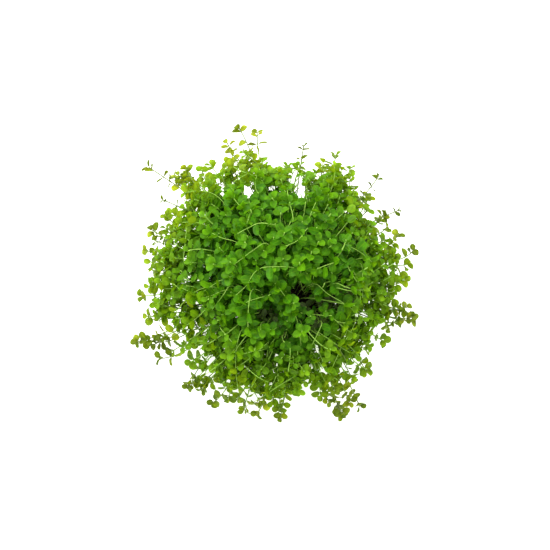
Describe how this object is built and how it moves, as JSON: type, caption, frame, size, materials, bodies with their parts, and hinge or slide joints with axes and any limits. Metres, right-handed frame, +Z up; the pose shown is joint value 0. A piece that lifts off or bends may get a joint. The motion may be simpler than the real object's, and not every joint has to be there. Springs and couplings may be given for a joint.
{
  "type": "micranthemum",
  "caption": "Round clump of thin arching stems with small opposite round leaves, rooted in a tapered plug of dark growing medium that stands on its flat underside.",
  "frame": {"origin": "centre of the plug's flat underside, on the surface it stands on", "axes": "+Z up, -Y towards the side the picture was taken from, +X to the right in the picture"},
  "size_m": [0.1589, 0.164, 0.094],
  "materials": {
    "growing_medium": "matte",
    "foliage": "satin"
  },
  "bodies": {
    "root": {"growing_medium": "growing_medium", "crown_shoot_01": "foliage", "crown_shoot_02": "foliage", "crown_shoot_03": "foliage", "crown_shoot_04": "foliage", "crown_shoot_05": "foliage", "crown_shoot_06": "foliage", "crown_shoot_07": "foliage", "crown_shoot_08": "foliage", "crown_shoot_09": "foliage", "crown_shoot_10": "foliage", "crown_shoot_11": "foliage", "crown_shoot_12": "foliage", "crown_shoot_13": "foliage", "crown_shoot_14": "foliage", "crown_shoot_15": "foliage", "crown_shoot_16": "foliage", "crown_shoot_17": "foliage", "trailing_shoot_01": "foliage", "trailing_shoot_02": "foliage", "trailing_shoot_03": "foliage", "trailing_shoot_04": "foliage", "trailing_shoot_05": "foliage", "trailing_shoot_06": "foliage", "trailing_shoot_07": "foliage", "trailing_shoot_08": "foliage", "trailing_shoot_09": "foliage", "trailing_shoot_10": "foliage", "trailing_shoot_11": "foliage", "trailing_shoot_12": "foliage", "trailing_shoot_13": "foliage", "trailing_shoot_14": "foliage", "trailing_shoot_15": "foliage", "trailing_shoot_16": "foliage", "trailing_shoot_17": "foliage", "trailing_shoot_18": "foliage", "trailing_shoot_19": "foliage", "trailing_shoot_20": "foliage", "trailing_shoot_21": "foliage", "trailing_shoot_22": "foliage", "trailing_shoot_23": "foliage", "trailing_shoot_24": "foliage", "trailing_shoot_25": "foliage", "trailing_shoot_26": "foliage", "trailing_shoot_27": "foliage", "trailing_shoot_28": "foliage", "trailing_shoot_29": "foliage", "trailing_shoot_30": "foliage", "trailing_shoot_31": "foliage", "trailing_shoot_32": "foliage", "trailing_shoot_33": "foliage", "trailing_shoot_34": "foliage", "trailing_shoot_35": "foliage", "trailing_shoot_36": "foliage", "trailing_shoot_37": "foliage", "trailing_shoot_38": "foliage", "trailing_shoot_39": "foliage"}
  },
  "joints": []
}
